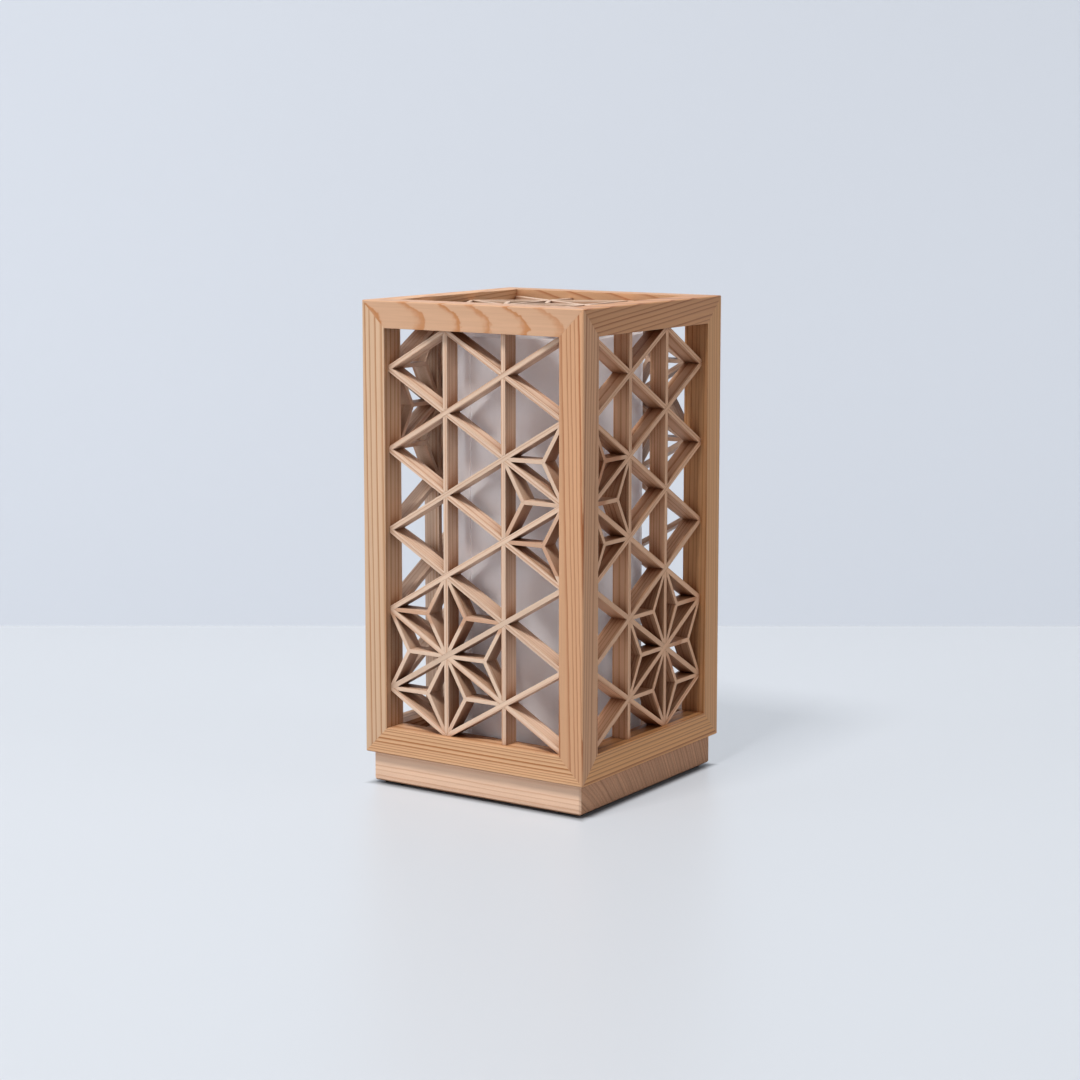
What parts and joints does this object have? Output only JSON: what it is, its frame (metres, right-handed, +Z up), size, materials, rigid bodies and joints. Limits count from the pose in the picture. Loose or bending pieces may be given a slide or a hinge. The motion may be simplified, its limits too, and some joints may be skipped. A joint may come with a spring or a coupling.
{
  "type": "kumiko table lamp",
  "caption": "Square wooden table lamp: a mitred frame with kumiko lattice and hemp-leaf stars lifts off a low plinth that carries the bulb and its rolled translucent tube.",
  "frame": {"origin": "centre of the footprint, at the underside of the feet", "axes": "+X to the right seen from the front panel, +Y towards the back, +Z up"},
  "size_m": [0.13, 0.13, 0.2445],
  "materials": {
    "post_wood": "planed softwood, straight grain up the post, unfinished",
    "top_rail_x_wood": "planed softwood, flat-sawn grain along the rail, unfinished",
    "top_rail_y_wood": "planed softwood, grain along the rail, unfinished",
    "bottom_rail_x_wood": "planed softwood, straight grain along the rail, unfinished",
    "bottom_rail_y_wood": "planed softwood, straight grain along the rail, unfinished",
    "upright_wood": "planed softwood, fine straight grain up the strip, unfinished",
    "strip_x_up_wood": "planed softwood, fine straight grain along the strip, unfinished",
    "strip_x_down_wood": "planed softwood, fine straight grain along the strip, unfinished",
    "strip_y_up_wood": "planed softwood, fine straight grain along the strip, unfinished",
    "strip_y_down_wood": "planed softwood, fine straight grain along the strip, unfinished",
    "top_upright_wood": "planed softwood, fine straight grain along the strip, unfinished",
    "top_rise_wood": "planed softwood, fine straight grain along the strip, unfinished",
    "top_fall_wood": "planed softwood, fine straight grain along the strip, unfinished",
    "leaf_x_wood": "planed softwood, fine straight grain along the leaf, unfinished",
    "leaf_y_wood": "planed softwood, fine straight grain along the leaf, unfinished",
    "top_leaf_wood": "planed softwood, fine straight grain along the leaf, unfinished",
    "plinth_wood": "planed softwood, grain from side to side, end grain on the sides",
    "seat_wood": "planed softwood, hidden inside",
    "diffuser_sheet": "matt translucent white sheet",
    "foot_rubber": "matt black",
    "bush_rubber": "matt black",
    "cover_plastic": "fine grained black",
    "holder_plastic": "ivory, satin",
    "holder_brass": "bare",
    "bulb_cap_metal": "bare",
    "bulb_glass_opal": "opal white, satin"
  },
  "bodies": {
    "base": {"plinth": "plinth_wood", "seat_board": "seat_wood", "bottom_cover": "cover_plastic", "feet": "foot_rubber", "cord_bush": "bush_rubber", "diffuser_tube": "diffuser_sheet", "tube_blocks": "seat_wood", "lamp_holder": "holder_plastic", "holder_shell": "holder_brass", "holder_contact": "holder_brass"},
    "shade": {"back_falling_strips": "strip_x_up_wood", "back_half_star_leaves": "leaf_x_wood", "back_rising_strips": "strip_x_down_wood", "back_star_leaves": "leaf_x_wood", "back_uprights": "upright_wood", "bottom_rail_back": "bottom_rail_x_wood", "bottom_rail_front": "bottom_rail_x_wood", "bottom_rail_left": "bottom_rail_y_wood", "bottom_rail_right": "bottom_rail_y_wood", "corner_tenons": "seat_wood", "front_falling_strips": "strip_x_down_wood", "front_half_star_leaves": "leaf_x_wood", "front_rising_strips": "strip_x_up_wood", "front_star_leaves": "leaf_x_wood", "front_uprights": "upright_wood", "left_falling_strips": "strip_y_up_wood", "left_half_star_leaves": "leaf_y_wood", "left_rising_strips": "strip_y_down_wood", "left_star_leaves": "leaf_y_wood", "left_uprights": "upright_wood", "post_back_left": "post_wood", "post_back_right": "post_wood", "post_front_left": "post_wood", "post_front_right": "post_wood", "right_falling_strips": "strip_y_down_wood", "right_half_star_leaves": "leaf_y_wood", "right_rising_strips": "strip_y_up_wood", "right_star_leaves": "leaf_y_wood", "right_uprights": "upright_wood", "top_falling_strips": "top_fall_wood", "top_rail_back": "top_rail_x_wood", "top_rail_front": "top_rail_x_wood", "top_rail_left": "top_rail_y_wood", "top_rail_right": "top_rail_y_wood", "top_rising_strips": "top_rise_wood", "top_star_leaves": "top_leaf_wood", "top_uprights": "top_upright_wood"},
    "bulb": {"bulb_cap": "bulb_cap_metal", "bulb_glass": "bulb_glass_opal"}
  },
  "joints": [
    {"name": "shade_lift", "type": "slide", "parent": "base", "child": "shade", "axis": [0, 0, 1], "range_m": [0, 0.215]},
    {"name": "bulb_turn", "type": "hinge", "parent": "base", "child": "bulb", "pos_m": [0, 0, 0.05], "axis": [0, 0, 1], "range_deg": [0, 1440]}
  ]
}
